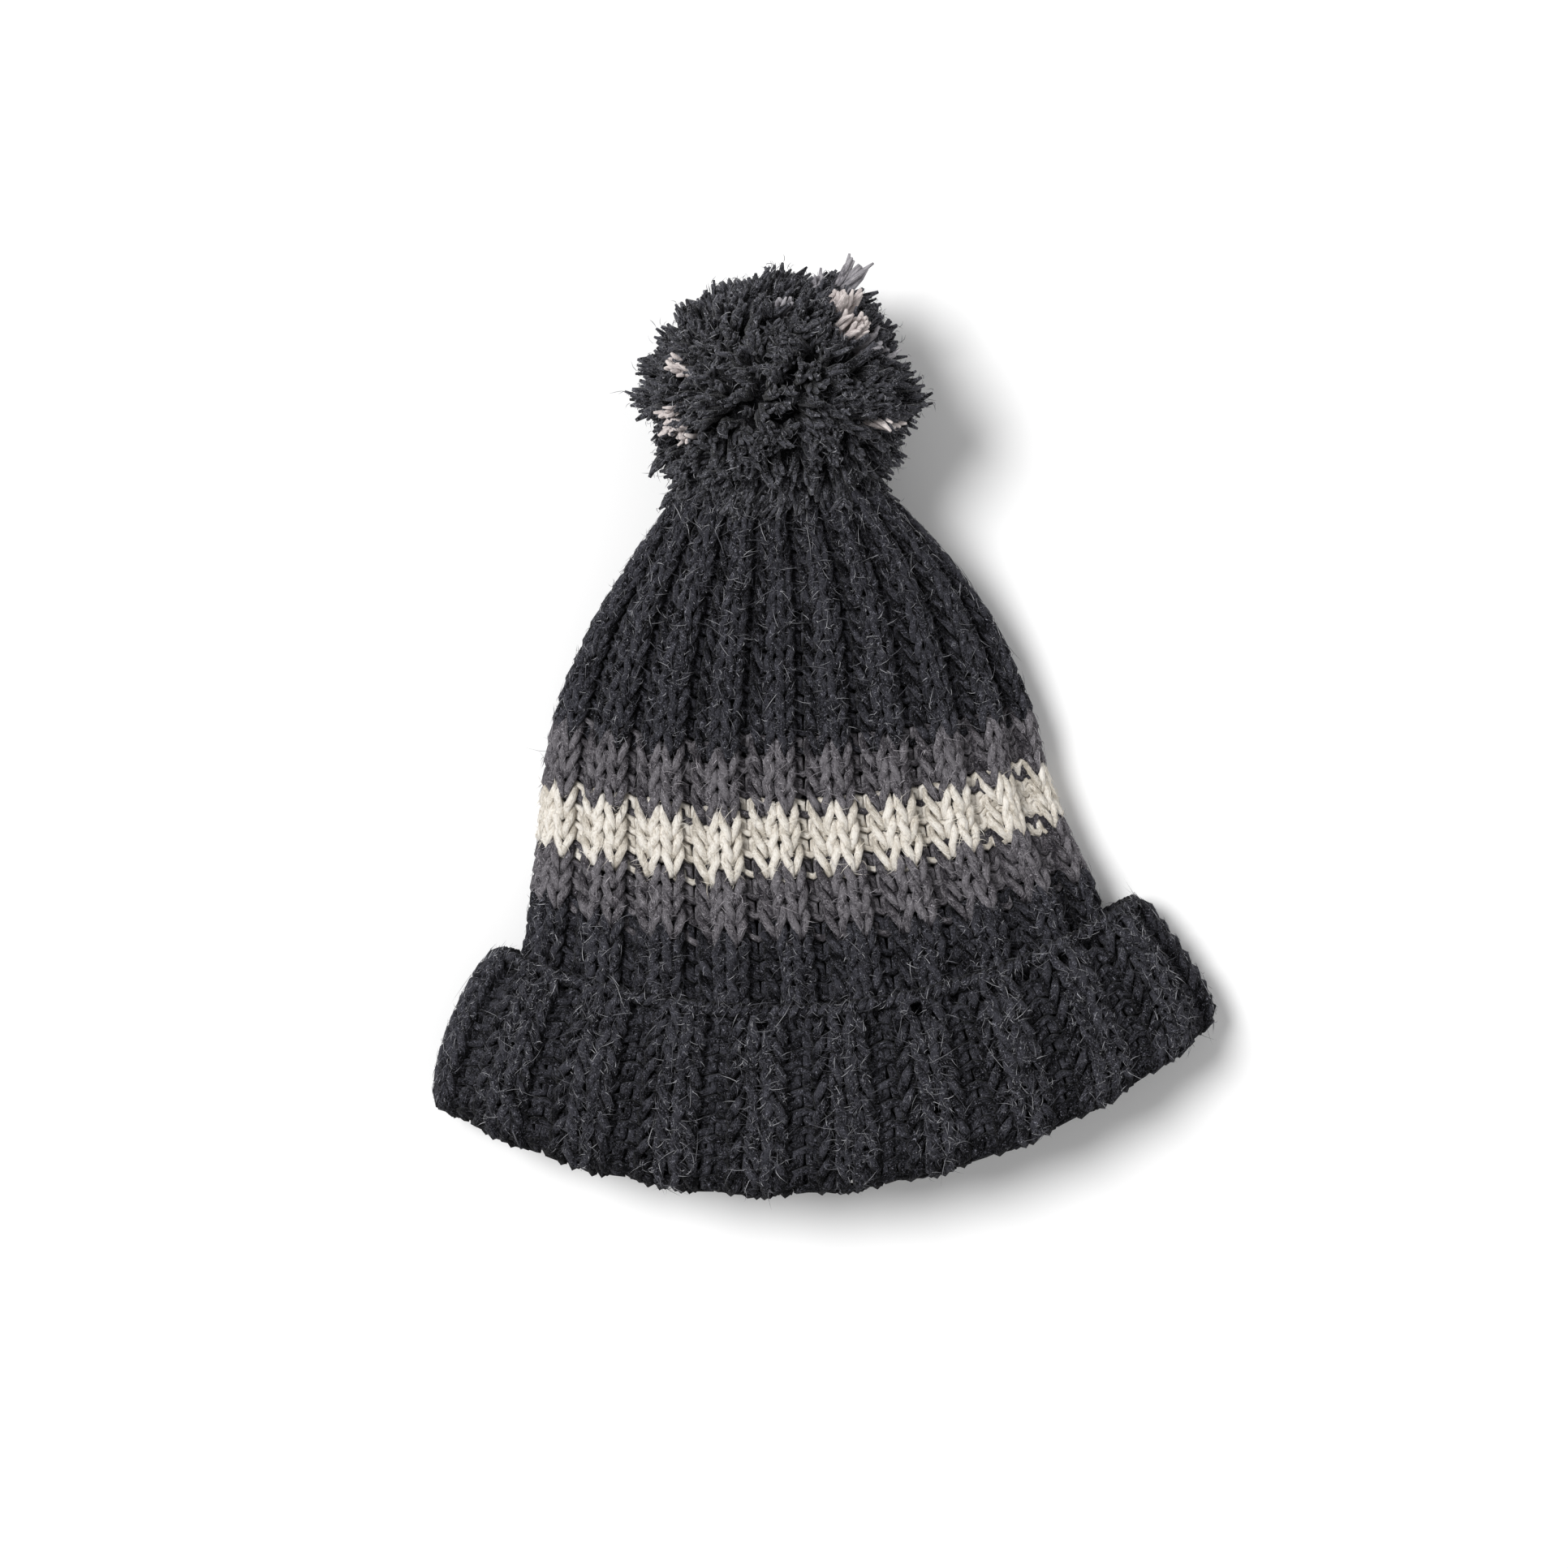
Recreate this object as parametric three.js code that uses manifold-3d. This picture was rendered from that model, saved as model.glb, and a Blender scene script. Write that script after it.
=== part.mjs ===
// Knitted pom-pom hat with a turned-up cuff, lying on its back as it rests on a table.
// Millimetres, +Z up, the mouth towards -Y and the pom-pom towards +Y.
// One ribbed tube in three yarns: charcoal cuff and band, grey, cream and grey stripes, charcoal crown.
import * as THREE from "three";
import { mergeVertices } from "three/addons/utils/BufferGeometryUtils.js";
import Module from "manifold-3d";

const wasm = await Module();
wasm.setup();

// Knitted wall
const WALL = 5;
const RIBS = 20;
const RIB_DEPTH = 1.5;
const FULL_RIB_PERIMETER = 300; // rings with less fabric have shallower ribs
const PIECE_GAP = 0.4;

// One rib from groove to groove: where each edge lies in the pitch, and its share of the rib's depth
const RIB_EDGES = [
  { at: 0.12, drop: 0 },
  { at: 0.72, drop: 0 },
  { at: 0.92, drop: 1 },
];

// Sections of the knitted tube, by the length of fabric up from the hem.
// A section is an arc in plan from its left to its right fold, bowed towards the mouth.
// Its underside is at low, its side folds at fold and its top at high, less a soft dent along the middle.
const COLUMNS = ["up", "leftX", "leftY", "rightX", "rightY", "bow", "low", "fold", "high", "dent"];

const BODY = sections([
  [0, -115.3, -114, 114.6, -89.5, 36, 5.8, 13, 42, 0], // inside the hem
  [30, -102, -87, 99.5, -77, 27.5, 5.8, 13, 42.5, 0], // under the cuff
  [55, -93, -66, 87.5, -61, 20, 5, 12.5, 41, 0], // under the cuff's edge
  [77, -90.5, -49.4, 81, -44, 16.5, 2, 11.5, 38.5, 0], // charcoal to grey
  [97, -88.5, -34, 74, -27.5, 13.5, -0.5, 11, 37, 1], // grey to cream
  [115, -87, -16.6, 68.5, -11.5, 12, -0.8, 11, 37, 2], // cream to grey
  [134, -83.5, 3.1, 63.8, 4.9, 11.5, -0.6, 11.5, 38, 3], // grey to charcoal
  [163, -72, 31.5, 52, 31.5, 9, 2, 14, 42, 4], // crown
  [186, -59.5, 50.5, 38.5, 50.5, 6.5, 7, 21, 48, 4], // shoulder of the crown
  [203, -48.5, 66, 24, 66, 3.5, 14, 30, 53, 3], // where the pom-pom starts
  [215, -37, 76.5, 11, 76.5, 1, 23, 38, 53, 1], // gathers
  [226, -24, 82.5, -2, 82.5, 0, 33, 40.5, 48.5, 0], // gathers
  [234, -16.4, 83.4, -9.6, 83.4, 0, 37.1, 40.5, 43.9, 0], // eye
]);

const CUFF = sections([
  [0, -121.5, -116.5, 120.8, -91, 36.5, -0.8, 13, 48, 0], // hem
  [18, -116, -96.5, 117, -80.5, 32, -0.8, 13, 48.8, 0],
  [38, -108.3, -79, 107, -65, 28, -0.8, 13, 48.8, 0],
  [54, -100.3, -67.6, 96.8, -51.5, 24.5, -0.8, 12.5, 47.6, 0], // free edge
]);

const HEM_FOLD_RADIUS = 5.5; // outside of the fold: two walls and the slack between them
const CUFF_TOP = CUFF.at(-1).up;
const EYE_UP = BODY.at(-1).up;
const EYE = { x: -13, y: BODY.at(-1).leftY, z: BODY.at(-1).fold };

// Where one yarn ends and the next begins, in fabric length up from the hem
const GREY_LOWER_UP = 77;
const CREAM_UP = 97;
const GREY_UPPER_UP = 115;
const CROWN_UP = 134;

// Roundness of a section: a high power keeps it flat for longer before it turns at the side folds
const TOP_ROUND = { across: 2.6, upward: 2 };
const UNDER_ROUND = { across: 5, upward: 2.4 };
const DENT_WIDTH = 0.26; // share of the half width
const HALF_SECTION_STEPS = 64;

// Pom-pom: a core and locks of cut yarn, tied on at the eye and a little wider than it is tall
const POMPOM = { x: -14.2, y: 99.8, z: 38, core: 35, reach: 43, stretch: [1.04, 0.97, 0.98] };
const LOCKS = { count: 74, sides: 5, root: 9, tip: 4, inner: 26, unevenness: 0.04 };
const TIE = { radius: 2.2, knotRadius: 4.6, knotLength: 6, knotBevel: 0.6, tuck: 9, sides: 14 };

const YARN = { charcoal: 0x303033, grey: 0x625f63, cream: 0xdcd5c8 };

function sections(rows) {
  return rows.map((row) => Object.fromEntries(COLUMNS.map((name, i) => [name, row[i]])));
}

// The section at any height: a cubic through the listed rows, with slopes from their neighbours
function sectionAt(rows, up) {
  const last = rows.length - 1;
  const next = rows.findIndex((row) => row.up > up);
  const i = next < 0 ? last - 1 : Math.max(next - 1, 0);
  const [a, b] = [rows[i], rows[i + 1]];
  const [before, after] = [rows[Math.max(i - 1, 0)], rows[Math.min(i + 2, last)]];
  const span = b.up - a.up;
  const t = (up - a.up) / span;
  const blend = (name) => {
    const leave = ((b[name] - before[name]) / (b.up - before.up)) * span;
    const arrive = ((after[name] - a[name]) / (after.up - a.up)) * span;
    const rise = t * t * (3 - 2 * t);
    return a[name] + (b[name] - a[name]) * rise + leave * t * (1 - t) ** 2 - arrive * t * t * (1 - t);
  };
  return Object.fromEntries(COLUMNS.map((name) => [name, blend(name)]));
}

// A point of a section: angle 0 is the right fold, a quarter turn the top, a half turn the left fold
function sectionPoint(section, angle) {
  const { leftX, leftY, rightX, rightY, bow, low, fold, high, dent } = section;
  const onTop = Math.sin(angle) >= 0;
  const round = onTop ? TOP_ROUND : UNDER_ROUND;
  const across = Math.sign(Math.cos(angle)) * Math.abs(Math.cos(angle)) ** (2 / round.across);
  const rise = Math.abs(Math.sin(angle)) ** (2 / round.upward);
  const along = new THREE.Vector2(rightX - leftX, rightY - leftY).normalize();
  const sag = bow * (1 - across * across);
  const hollow = dent * Math.exp(-((across / DENT_WIDTH) ** 2));
  return new THREE.Vector3(
    THREE.MathUtils.lerp(leftX, rightX, (1 + across) / 2) + along.y * sag,
    THREE.MathUtils.lerp(leftY, rightY, (1 + across) / 2) - along.x * sag,
    fold + rise * (onTop ? high - fold - hollow : low - fold),
  );
}

// Half a section as points evenly spaced along the fabric, so that all its ribs have one width
function halfSection(section, startAngle) {
  const points = Array.from({ length: HALF_SECTION_STEPS + 1 }, (_, i) =>
    sectionPoint(section, startAngle + (Math.PI * i) / HALF_SECTION_STEPS),
  );
  const lengths = [0];
  points.slice(1).forEach((p, i) => lengths.push(lengths[i] + p.distanceTo(points[i])));
  const total = lengths.at(-1);
  const at = (share) => {
    const length = share * total;
    const i = Math.min(Math.max(lengths.findIndex((l) => l >= length), 1), HALF_SECTION_STEPS);
    const t = (length - lengths[i - 1]) / (lengths[i] - lengths[i - 1]);
    return points[i - 1].clone().lerp(points[i], t);
  };
  return { at, total };
}

// A ring of fabric: at(around) runs once round it, over the top first
function ringAt(rows, up) {
  const section = sectionAt(rows, up);
  const [top, under] = [halfSection(section, 0), halfSection(section, Math.PI)];
  const at = (around) => {
    const turn = THREE.MathUtils.euclideanModulo(around, 1);
    return turn < 0.5 ? top.at(2 * turn) : under.at(2 * turn - 1);
  };
  return { at, perimeter: top.total + under.total };
}

// One ribbed ring of vertices, lifted off the outer face along its normal; a negative lift goes inwards.
// The table presses flat whatever would reach below it.
function ribbedRing(rows, up, lift, ribDepth = RIB_DEPTH) {
  const [turnStep, upStep] = [0.004, 0.2];
  const ring = ringAt(rows, up);
  const [lower, upper] = [ringAt(rows, up - upStep), ringAt(rows, up + upStep)];
  const depth = ribDepth * Math.min(1, ring.perimeter / FULL_RIB_PERIMETER);
  const vertices = [];
  for (let rib = 0; rib < RIBS; rib += 1) {
    for (const edge of RIB_EDGES) {
      const around = (rib + edge.at) / RIBS;
      const course = ring.at(around + turnStep).sub(ring.at(around - turnStep));
      const wale = upper.at(around).sub(lower.at(around));
      const outward = wale.cross(course).normalize();
      const vertex = ring.at(around).addScaledVector(outward, lift - edge.drop * depth);
      vertex.z = Math.max(vertex.z, 0);
      vertices.push(vertex);
    }
  }
  return vertices;
}

const ringsOf = (rows, ups, lift) => ups.map((up) => ribbedRing(rows, up, lift));

// A surface through rings that closes on itself, from the last ring back to the first
function closedLoft(rings) {
  const count = rings[0].length;
  const index = [];
  for (let r = 0; r < rings.length; r += 1) {
    const [here, next] = [r * count, ((r + 1) % rings.length) * count];
    for (let k = 0; k < count; k += 1) {
      const beside = (k + 1) % count;
      index.push(here + k, next + beside, here + beside, here + k, next + k, next + beside);
    }
  }
  return new THREE.BufferGeometry().setFromPoints(rings.flat()).setIndex(index);
}

// A band of the tube: up its outer face, then back down its inner face
function bandGeometry(outerUps, innerUps) {
  return closedLoft([...ringsOf(BODY, outerUps, 0), ...ringsOf(BODY, innerUps, -WALL)]);
}

function stripeGeometry(from, to) {
  const ups = [from + PIECE_GAP / 2, (from + to) / 2, to - PIECE_GAP / 2];
  return bandGeometry(ups, ups.toReversed());
}

// The crown closes to a small round eye, through which the tie passes
function crownGeometry() {
  const start = CROWN_UP + PIECE_GAP / 2;
  const outerUps = [start, 148, 163, 176, 188, 198, 207, 215, 222, 228, EYE_UP];
  const innerUps = [EYE_UP, 227, 218, 207, 194, 180, 163, 148, start];
  return bandGeometry(outerUps, innerUps);
}

// Lower band, fold at the hem and turned-up cuff: one fabric, followed all the way round its section
function cuffBandGeometry() {
  const bandTop = GREY_LOWER_UP - PIECE_GAP / 2;
  const edge = { up: CUFF_TOP + 0.3 * WALL, lift: -WALL / 2, ribDepth: RIB_DEPTH / 2 };
  const foldRing = (turn, cuffLift, bandLift) => {
    const up = HEM_FOLD_RADIUS * (1 - Math.sin(Math.PI * turn));
    const cuff = ribbedRing(CUFF, up, cuffLift);
    const band = ribbedRing(BODY, up, bandLift);
    return cuff.map((p, k) => p.lerp(band[k], (1 - Math.cos(Math.PI * turn)) / 2));
  };
  return closedLoft([
    ...ringsOf(BODY, [bandTop, 62, 42, 22, HEM_FOLD_RADIUS], -WALL),
    ...[0.75, 0.5, 0.25].map((turn) => foldRing(turn, 0, -WALL)),
    ...ringsOf(CUFF, [HEM_FOLD_RADIUS, 18, 30, 42, CUFF_TOP], 0),
    ribbedRing(CUFF, edge.up, edge.lift, edge.ribDepth),
    ...ringsOf(CUFF, [CUFF_TOP, 40, 24, 9], -WALL),
    foldRing(0.02, -WALL, 0),
    ...ringsOf(BODY, [9, 25, 45, 62, bandTop], 0),
  ]);
}

// A closed mesh as a solid for joining and cutting, and back
function solidOf(geometry) {
  const bare = new THREE.BufferGeometry();
  bare.setAttribute("position", geometry.getAttribute("position").clone());
  bare.setIndex(geometry.index && geometry.index.clone());
  const merged = mergeVertices(bare, 1e-4);
  const vertProperties = new Float32Array(merged.attributes.position.array);
  const triVerts = new Uint32Array(merged.index.array);
  return new wasm.Manifold(new wasm.Mesh({ numProp: 3, vertProperties, triVerts }));
}

function geometryOf(solid) {
  const { vertProperties, triVerts } = solid.getMesh();
  return new THREE.BufferGeometry()
    .setAttribute("position", new THREE.BufferAttribute(vertProperties, 3))
    .setIndex(new THREE.BufferAttribute(triVerts, 1));
}

// The crown filled and a little oversize, which the pom-pom is hollowed to sit on
function crownSeat() {
  const rings = ringsOf(BODY, [140, 163, 176, 188, 198, 207, 215, 222, 228, EYE_UP], PIECE_GAP);
  const shut = (ring) => {
    const middle = ring.reduce((sum, p) => sum.add(p), new THREE.Vector3()).divideScalar(ring.length);
    return ring.map((p) => middle.clone().lerp(p, 0.02));
  };
  return solidOf(closedLoft([shut(rings[0]), ...rings, shut(rings.at(-1))]));
}

// Lock number k: a tapered bundle of strands, its direction spread over the sphere by the golden angle
function lockGeometry(k) {
  const height = 1 - (2 * k + 1) / LOCKS.count;
  const turn = k * Math.PI * (3 - Math.sqrt(5));
  const direction = new THREE.Vector3().setFromSphericalCoords(1, Math.acos(height), turn);
  const reach = POMPOM.reach * (1 - LOCKS.unevenness * (1 + Math.sin(3 * k)));
  const toDirection = new THREE.Quaternion().setFromUnitVectors(new THREE.Vector3(0, 1, 0), direction);
  return new THREE.CylinderGeometry(LOCKS.tip, LOCKS.root, reach - LOCKS.inner, LOCKS.sides)
    .translate(0, (reach + LOCKS.inner) / 2, 0)
    .applyQuaternion(toDirection);
}

// Cord along +Y through the eye, with its knot inside the crown and its end tucked into the pom-pom
function tieGeometry() {
  const { radius, knotRadius, knotLength, knotBevel, tuck, sides } = TIE;
  const knotFace = EYE.y - WALL - 2 * PIECE_GAP;
  const knotBack = knotFace - knotLength;
  const profile = [
    [0, knotBack],
    [0.7 * knotRadius, knotBack + knotBevel],
    [knotRadius, (knotBack + knotFace) / 2],
    [0.7 * knotRadius, knotFace - knotBevel],
    [radius, knotFace],
    [radius, EYE.y + tuck],
    [0, EYE.y + tuck],
  ].map(([r, y]) => new THREE.Vector2(r, y));
  return new THREE.LatheGeometry(profile, sides).translate(EYE.x, 0, EYE.z);
}

// Room for the tie in the pom-pom
function tieSocket() {
  const [radius, depth] = [TIE.radius + PIECE_GAP, TIE.tuck + PIECE_GAP];
  const socket = new THREE.CylinderGeometry(radius, radius, 2 * depth, TIE.sides);
  return solidOf(socket.translate(EYE.x, EYE.y, EYE.z));
}

function pompomGeometry() {
  const size = 4 * POMPOM.reach;
  const table = solidOf(new THREE.BoxGeometry(size, size, size).translate(POMPOM.x, POMPOM.y, -size / 2));
  let ball = solidOf(new THREE.IcosahedronGeometry(POMPOM.core, 3));
  for (let k = 0; k < LOCKS.count; k += 1) ball = ball.add(solidOf(lockGeometry(k)));
  const placed = ball.scale(POMPOM.stretch).translate([POMPOM.x, POMPOM.y, POMPOM.z]);
  const seated = placed.subtract(table).subtract(crownSeat()).subtract(tieSocket());
  const largest = seated.decompose().reduce((a, b) => (a.volume() > b.volume() ? a : b));
  return geometryOf(largest);
}

function woollen(name, geometry, color) {
  const material = new THREE.MeshStandardMaterial({ color, roughness: 0.95, metalness: 0 });
  const mesh = new THREE.Mesh(geometry, material);
  mesh.name = name;
  return mesh;
}

const hat = new THREE.Group();
hat.add(
  woollen("cuff_band", cuffBandGeometry(), YARN.charcoal),
  woollen("stripe_grey_lower", stripeGeometry(GREY_LOWER_UP, CREAM_UP), YARN.grey),
  woollen("stripe_cream", stripeGeometry(CREAM_UP, GREY_UPPER_UP), YARN.cream),
  woollen("stripe_grey_upper", stripeGeometry(GREY_UPPER_UP, CROWN_UP), YARN.grey),
  woollen("crown", crownGeometry(), YARN.charcoal),
  woollen("pompom_tie", tieGeometry(), YARN.charcoal),
  woollen("pompom", pompomGeometry(), YARN.charcoal),
);

export default hat;
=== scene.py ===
# Knitted pom-pom hat lying flat, every stitch of its rib a loop of yarn, seen from straight above.
import bpy
import numpy as np
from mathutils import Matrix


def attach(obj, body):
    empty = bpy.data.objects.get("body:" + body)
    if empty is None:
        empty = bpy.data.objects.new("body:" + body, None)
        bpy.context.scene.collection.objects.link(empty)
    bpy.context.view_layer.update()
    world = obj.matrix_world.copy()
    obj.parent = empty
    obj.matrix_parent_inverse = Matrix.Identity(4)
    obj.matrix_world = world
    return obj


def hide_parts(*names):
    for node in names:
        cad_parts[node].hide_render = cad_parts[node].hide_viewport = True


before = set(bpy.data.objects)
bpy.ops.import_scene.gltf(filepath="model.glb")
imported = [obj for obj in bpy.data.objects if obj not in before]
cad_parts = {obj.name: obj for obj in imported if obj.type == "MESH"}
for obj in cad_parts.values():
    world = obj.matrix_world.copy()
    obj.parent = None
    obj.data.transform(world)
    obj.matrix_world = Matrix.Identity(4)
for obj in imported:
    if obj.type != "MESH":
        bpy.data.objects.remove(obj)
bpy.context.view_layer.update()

MM = 0.001  # shapes are worked out in millimetres and stored in metres
TABLE_GAP = 0.02  # mm that every piece keeps above the table
rng = np.random.default_rng(20)

# Sections of the knitted tube and of its turned-up cuff, by the length of fabric up from the hem.
# A section is an arc in plan from its left to its right fold, bowed towards the mouth.
# Its underside is at low, its side folds at fold and its top at high, less a soft dent along the middle.
UP, LEFT_X, LEFT_Y, RIGHT_X, RIGHT_Y, BOW, LOW, FOLD, HIGH, DENT = range(10)
BODY = np.array([
    [0, -115.3, -114, 114.6, -89.5, 36, 5.8, 13, 42, 0],
    [30, -102, -87, 99.5, -77, 27.5, 5.8, 13, 42.5, 0],
    [55, -93, -66, 87.5, -61, 20, 5, 12.5, 41, 0],
    [77, -90.5, -49.4, 81, -44, 16.5, 2, 11.5, 38.5, 0],
    [97, -88.5, -34, 74, -27.5, 13.5, -0.5, 11, 37, 1],
    [115, -87, -16.6, 68.5, -11.5, 12, -0.8, 11, 37, 2],
    [134, -83.5, 3.1, 63.8, 4.9, 11.5, -0.6, 11.5, 38, 3],
    [163, -72, 31.5, 52, 31.5, 9, 2, 14, 42, 4],
    [186, -59.5, 50.5, 38.5, 50.5, 6.5, 7, 21, 48, 4],
    [203, -48.5, 66, 24, 66, 3.5, 14, 30, 53, 3],
    [215, -37, 76.5, 11, 76.5, 1, 23, 38, 53, 1],
    [226, -24, 82.5, -2, 82.5, 0, 33, 40.5, 48.5, 0],
    [234, -16.4, 83.4, -9.6, 83.4, 0, 37.1, 40.5, 43.9, 0],
])
CUFF = np.array([
    [0, -121.5, -116.5, 120.8, -91, 36.5, -0.8, 13, 48, 0],
    [18, -116, -96.5, 117, -80.5, 32, -0.8, 13, 48.8, 0],
    [38, -108.3, -79, 107, -65, 28, -0.8, 13, 48.8, 0],
    [54, -100.3, -67.6, 96.8, -51.5, 24.5, -0.8, 12.5, 47.6, 0],
])
WALL = 5.0
HEM_FOLD = 5.5  # up from the hem, where the fabric starts to turn over
CUFF_TOP = CUFF[-1, UP]
EYE_UP = BODY[-1, UP]
TOP_ROUND = (2.6, 2.0)  # powers of the section across and upward
UNDER_ROUND = (5.0, 2.4)
DENT_WIDTH = 0.26
HALF_STEPS = 64
AROUND_STEPS = 480
SHEET_STEP = 1.5
FOLD_STEPS = 11
SLOPE_STEP = 0.2

# Knitting: ribs of two knit and two purl columns, each row sewn shut at one seam
RIBS = 20
STITCHES = 4 * RIBS
SEAM_AROUND = 0.293
SEAM_JOG = 0.5  # rows; the two ends of a row don't quite meet at the seam
YARN_RADIUS = 1.24
RIB_PITCH = 16.3  # at which the yarn has that radius
YARN_SQUEEZE = (0.55, 1.14)  # limits of its girth in narrower and in wider fabric
LEG_SWELL = 0.09  # share by which a stitch's legs are thicker, and its head thinner
RIB_RISE = 2.1
HEM_CALM = 0.7  # share of the ribs' depth that is lost where the fabric folds
HEM_CALM_REACH = 8.0
RIB_CREST = 1.9  # off the middle of the wall, from where the yarn gets the most painted light and shows the most stray fibres
GROOVE_LIGHT = 0.3  # share of that painted light and of those fibres left in the grooves, which leaves painted shade there
LOOP_DEPTH = 1.15
LOOP_HEIGHT = 0.92  # of a row, each way from its middle
PURL_LIFT = 0.12  # of a row; the back of a purl stitch sits a little higher
LOOP_LEAN = 0.25
JOIN_SHARE = 0.2  # of a stitch, over which it bends to meet the next column
CROSS_SHARE = 0.24  # of a stitch, over which the yarn passes through the wall
KNIT_COLUMNS = ((0.27, 0.40), (0.715, 0.53))  # centre and width, shares of a rib
PAIR_WIDTHS = (0.8, 0.94)  # shares of a rib that its knit pair takes, in stretched and slack fabric
ACROSS_WANDER = 0.013  # ribs
HEIGHT_WANDER = 0.045  # rows
DEPTH_WANDER = 0.11  # mm
GIRTH_WANDER = 0.05  # share of the radius
TABLE_PRESS = 0.92  # share of its radius at which a yarn that lies on the table has its middle
TABLE_SOFT = 0.7  # mm over which it comes to lie there
STEPS_PER_STITCH = 10
YARN_SIDES = 5
TWIST_LENGTH = 16.0
YARN_APART = 997.0  # mm from one yarn's pattern to the next one's

# One groove at the right end of the stripes lies pulled open, so that the bars of its purl stitches show
OPEN_RIB = 15.0
OPEN_UP = 107.0
OPEN_REACH = (0.9, 24.0)  # ribs across, millimetres up
OPEN_SHARE = 0.34  # of their width that the pairs beside it lose
OPEN_CALM = 0.35  # of their height that they lose

# Cast-on edge of the cuff: two yarns that coil round each other
EDGE_HEIGHT = 0.6
EDGE_COIL = 1.1
EDGE_YARN = 1.35
EDGE_WANDER = 0.06

# Where each yarn starts and ends on the tube, and its number of rows
BAND_TOP = 77
BANDS = (
    ("stripe_grey_lower", BAND_TOP, 97, 3),
    ("stripe_cream", 97, 115, 3),
    ("stripe_grey_upper", 115, 134, 3),
    ("crown", 134, 234, 17),
)
CUFF_ROWS = 9
BAND_ROWS = 13
BAND_HIDDEN = 7  # rows of the band inside the hem and deep behind the cuff, which get no fuzz
EDGE_ROOM = 0.35  # of a row, that the cast-on edge takes


def unit(v):
    """Vectors brought to a length of 1."""
    return v / np.maximum(np.linalg.norm(v, axis=-1, keepdims=True), 1e-9)


def smooth(t):
    """A step from 0 to 1 with level ends: 3t^2 - 2t^3, held outside 0 to 1."""
    t = np.clip(t, 0, 1)
    return t * t * (3 - 2 * t)


def sections_at(rows, ups):
    """The sections at any heights: a cubic through the listed rows, sloped by their neighbours."""
    i = np.clip(np.searchsorted(rows[:, UP], ups, side="right") - 1, 0, len(rows) - 2)
    a, b = rows[i], rows[i + 1]
    before, after = rows[np.maximum(i - 1, 0)], rows[np.minimum(i + 2, len(rows) - 1)]
    span = b[:, :1] - a[:, :1]
    t = (ups[:, None] - a[:, :1]) / span
    leave = (b - before) / (b[:, :1] - before[:, :1]) * span
    arrive = (after - a) / (after[:, :1] - a[:, :1]) * span
    return a + (b - a) * t * t * (3 - 2 * t) + leave * t * (1 - t) ** 2 - arrive * t * t * (1 - t)


def half_rings(cut, start_angle, count):
    """Half of each section as points evenly spaced along the fabric: a squashed power ellipse, bowed
    in plan, walked by angle and then read again at equal shares of its length."""
    angle = start_angle + np.pi * np.arange(HALF_STEPS + 1) / HALF_STEPS
    across_power, upward_power = TOP_ROUND if start_angle == 0 else UNDER_ROUND
    cos, sin = np.cos(angle), np.sin(angle)
    across = np.sign(cos) * np.abs(cos) ** (2 / across_power)
    rise = np.abs(sin) ** (2 / upward_power)
    cell = cut[:, :, None]
    run_x, run_y = cell[:, RIGHT_X] - cell[:, LEFT_X], cell[:, RIGHT_Y] - cell[:, LEFT_Y]
    width = np.hypot(run_x, run_y)
    sag = cell[:, BOW] * (1 - across**2)
    hollow = cell[:, DENT] * np.exp(-((across / DENT_WIDTH) ** 2))
    height = cell[:, HIGH] - cell[:, FOLD] - hollow if start_angle == 0 else cell[:, LOW] - cell[:, FOLD]
    points = np.stack([
        cell[:, LEFT_X] + run_x * (1 + across) / 2 + run_y / width * sag,
        cell[:, LEFT_Y] + run_y * (1 + across) / 2 - run_x / width * sag,
        cell[:, FOLD] + rise * height,
    ], axis=-1)
    lengths = np.linalg.norm(np.diff(points, axis=1), axis=-1).cumsum(axis=1)
    share = np.concatenate([np.zeros((len(cut), 1)), lengths], axis=1) / lengths[:, -1:]
    ring = 2.0 * np.arange(len(cut))[:, None]  # keeps the shares of one ring clear of the next one's
    wanted = ring + np.arange(count) / count
    read = [np.interp(wanted.ravel(), (share + ring).ravel(), points[..., k].ravel()) for k in range(3)]
    return np.stack(read, axis=-1).reshape(len(cut), count, 3)


def rings(rows, ups):
    """Rings of the fabric's outer face, from the right fold over the top, then back underneath."""
    cut = sections_at(rows, ups)
    half = AROUND_STEPS // 2
    return np.concatenate([half_rings(cut, 0, half), half_rings(cut, np.pi, half)], axis=1)


def wall_middle(rows, ups):
    """The middle of the wall: the outer face moved half a wall along its inward normal."""
    face = rings(rows, ups)
    wale = rings(rows, ups + SLOPE_STEP) - rings(rows, ups - SLOPE_STEP)
    course = np.roll(face, -2, axis=1) - np.roll(face, 2, axis=1)
    return face - WALL / 2 * unit(np.cross(wale, course))


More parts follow.
